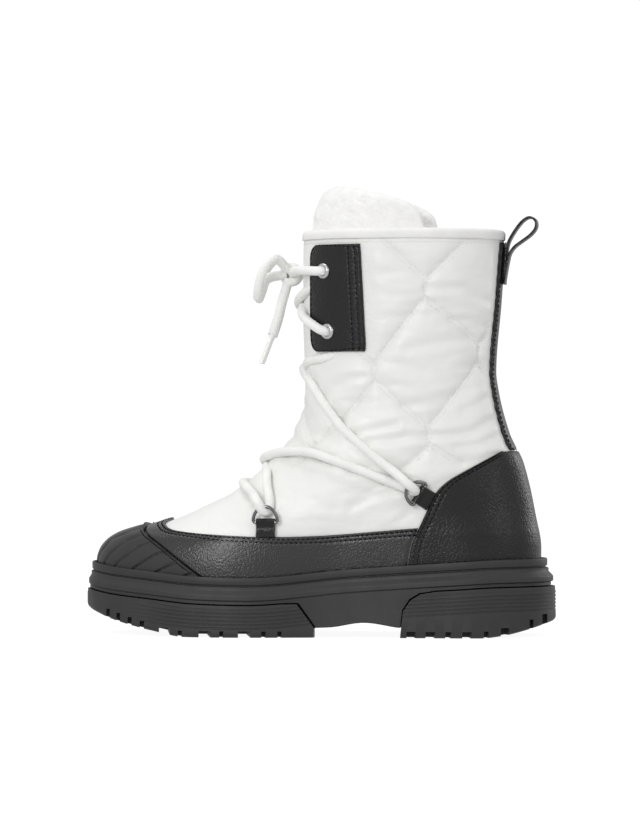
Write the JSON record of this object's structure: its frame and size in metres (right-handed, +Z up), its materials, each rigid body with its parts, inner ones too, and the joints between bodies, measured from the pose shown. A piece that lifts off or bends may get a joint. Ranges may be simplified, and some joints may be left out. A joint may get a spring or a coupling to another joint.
{
  "type": "winter boot",
  "caption": "Left ankle-high winter boot with a quilted padded shaft, fleece tongue, leather overlays, rubber toe cap, laces through rings and a lugged stepped sole.",
  "frame": {"origin": "middle of the sole's box, on the floor", "axes": "+Z up, -X to the toe, -Y to the outer side"},
  "size_m": [0.2813, 0.1107, 0.2645],
  "materials": {
    "sole_foam": "matte moulded",
    "sole_rubber": "matte moulded",
    "toe_rubber": "matte moulded, ribbed",
    "nylon": "satin quilted",
    "fleece": "curly pile",
    "webbing": "woven tape",
    "leather": "pebbled, low gloss",
    "cord": "braided",
    "plastic": "smooth",
    "ring_metal": "dark, polished",
    "eyelet_metal": "bright, satin"
  },
  "bodies": {
    "root": {"midsole": "sole_foam", "outsole_forefoot": "sole_rubber", "outsole_heel": "sole_rubber", "insole": "fleece", "tongue": "fleece", "upper": "nylon", "collar_binding": "webbing", "toe_cap": "toe_rubber", "rand": "leather", "heel_counter": "leather", "back_strip": "leather", "pull_loop": "leather", "eyelet_tab_lateral": "leather", "eyelet_tab_medial": "leather", "eyelet_lower_lateral": "eyelet_metal", "eyelet_lower_medial": "eyelet_metal", "eyelet_upper_lateral": "eyelet_metal", "eyelet_upper_medial": "eyelet_metal", "d_ring_tab_front_lateral": "leather", "d_ring_front_lateral": "ring_metal", "d_ring_tab_front_medial": "leather", "d_ring_front_medial": "ring_metal", "d_ring_tab_rear_lateral": "leather", "d_ring_rear_lateral": "ring_metal", "d_ring_tab_rear_medial": "leather", "d_ring_rear_medial": "ring_metal", "lace_vamp": "cord", "lace_instep": "cord", "lace_ankle": "cord", "lace_collar": "cord", "lace_knot": "cord", "lace_loop_lateral": "cord", "lace_loop_medial": "cord", "lace_end_lateral": "cord", "lace_end_medial": "cord", "aglet_lateral": "plastic", "aglet_medial": "plastic"}
  },
  "joints": []
}
